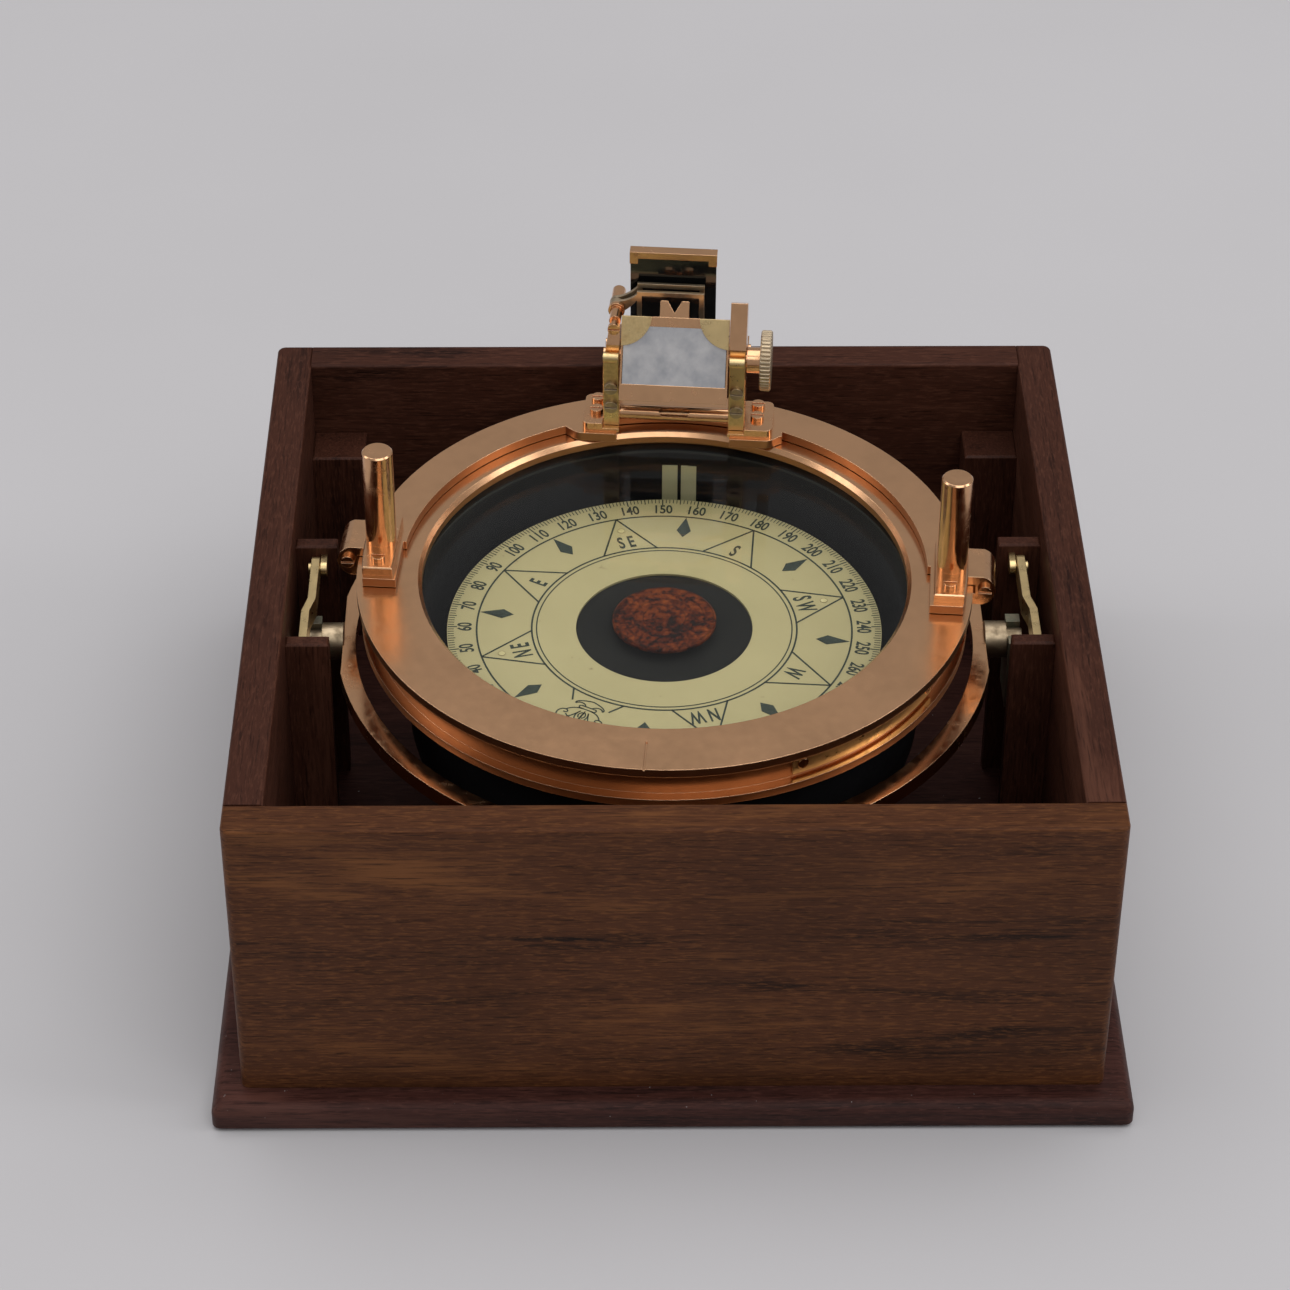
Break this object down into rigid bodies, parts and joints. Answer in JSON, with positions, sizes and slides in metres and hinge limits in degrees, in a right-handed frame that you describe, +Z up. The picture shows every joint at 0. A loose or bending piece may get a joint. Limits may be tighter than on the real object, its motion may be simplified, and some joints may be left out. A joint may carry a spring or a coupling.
{
  "type": "azimuth compass",
  "caption": "Gimballed liquid compass with a floating card in an open wooden box, carrying a rotating azimuth circle with a prism sight, tinted shades and folding mirror.",
  "frame": {"origin": "middle of the plinth's underside", "axes": "+Z up, +X to the right and +Y to the back of the box"},
  "size_m": [0.3094, 0.2976, 0.1874],
  "materials": {
    "mahogany": "satin",
    "bronze": "satin",
    "yellow_brass": "satin",
    "aged_brass": "satin",
    "dull_bronze": "matte",
    "steel": "satin",
    "black_paint": "satin",
    "card_print": "matte",
    "card_cap": "satin",
    "pale_paint": "matte",
    "clear_glass": "gloss",
    "prism_glass": "gloss",
    "dark_glass": "gloss",
    "black_mirror": "gloss",
    "gasket": "matte"
  },
  "bodies": {
    "case": {"plinth": "mahogany", "front_board": "mahogany", "back_board": "mahogany", "left_board": "mahogany", "right_board": "mahogany", "corner_posts": "mahogany", "cheek_boards": "mahogany", "left_bearing": "dull_bronze", "right_bearing": "dull_bronze", "bearing_screws": "dull_bronze", "latch_ears": "yellow_brass", "latch_pins": "yellow_brass"},
    "left_latch": {"left_latch": "yellow_brass"},
    "right_latch": {"right_latch": "yellow_brass"},
    "gimbal": {"gimbal_ring": "bronze", "trunnions": "bronze"},
    "bowl": {"bowl_shell": "black_paint", "bowl_pivot_screws": "bronze", "verge_ring": "bronze", "cover_glass": "clear_glass", "glass_gasket": "gasket", "flange_screws": "bronze", "lubber_marks": "pale_paint", "base_weight": "black_paint", "balance_weight": "black_paint", "filler_plug": "aged_brass", "collar_plate": "yellow_brass", "plate_screws": "bronze", "pivot_column": "black_paint"},
    "compass_card": {"card": "card_print", "float": "black_paint", "jewel_cup": "steel", "float_cap": "card_cap", "magnets": "steel"},
    "azimuth_circle": {"half_ring": "bronze", "handle_blocks": "bronze", "handle_posts": "bronze", "circle_screws": "bronze", "guide_lugs": "bronze", "left_bracket": "bronze", "right_bracket": "bronze", "straps": "yellow_brass", "strap_screws": "aged_brass", "level_tube": "bronze", "level_vial": "clear_glass", "shade_pin": "bronze", "mirror_pin": "bronze"},
    "prism_tilt": {"prism_carrier": "bronze", "prism": "prism_glass", "corner_clips": "yellow_brass", "notch_vane": "bronze", "tilt_shafts": "bronze", "tilt_knob": "aged_brass"},
    "front_shade": {"front_shade": "aged_brass", "front_shade_glass": "dark_glass"},
    "rear_shade": {"rear_shade": "aged_brass", "rear_shade_glass": "dark_glass"},
    "mirror": {"mirror_frame": "bronze", "rear_mirror": "black_mirror"}
  },
  "joints": [
    {"name": "left_latch_hinge", "type": "hinge", "parent": "case", "child": "left_latch", "pos_m": [-0.1246, 0.022, 0.1079], "axis": [-1, 0, 0], "range_deg": [0, 90]},
    {"name": "right_latch_hinge", "type": "hinge", "parent": "case", "child": "right_latch", "pos_m": [0.1246, 0.022, 0.1079], "axis": [-1, 0, 0], "range_deg": [0, 90]},
    {"name": "gimbal_pitch", "type": "hinge", "parent": "case", "child": "gimbal", "pos_m": [-0.0017, 0, 0.0925], "axis": [-1, 0, 0], "range_deg": [-15, 15]},
    {"name": "bowl_roll", "type": "hinge", "parent": "gimbal", "child": "bowl", "pos_m": [-0.0017, 0, 0.0925], "axis": [0, 1, 0], "range_deg": [-7.5, 7.5]},
    {"name": "card_turn", "type": "hinge", "parent": "bowl", "child": "compass_card", "pos_m": [-0.0017, 0, 0.0954], "axis": [0, 0, 1], "continuous": true},
    {"name": "azimuth_turn", "type": "hinge", "parent": "bowl", "child": "azimuth_circle", "pos_m": [-0.0017, 0, 0.1225], "axis": [0, 0, 1], "continuous": true},
    {"name": "prism_tilt_hinge", "type": "hinge", "parent": "azimuth_circle", "child": "prism_tilt", "pos_m": [0.00292, 0.08605, 0.1546], "axis": [0.9965, -0.0837, 0], "range_deg": [-7, 35]},
    {"name": "front_shade_hinge", "type": "hinge", "parent": "azimuth_circle", "child": "front_shade", "pos_m": [-0.01788, 0.1001, 0.1668], "axis": [-0.0837, -0.9965, 0], "range_deg": [0, 150]},
    {"name": "rear_shade_hinge", "type": "hinge", "parent": "azimuth_circle", "child": "rear_shade", "pos_m": [-0.01765, 0.1029, 0.1668], "axis": [-0.0837, -0.9965, 0], "range_deg": [0, 150]},
    {"name": "mirror_fold", "type": "hinge", "parent": "azimuth_circle", "child": "mirror", "pos_m": [0.00449, 0.10485, 0.1471], "axis": [-0.9965, 0.0837, 0], "range_deg": [0, 75]}
  ]
}
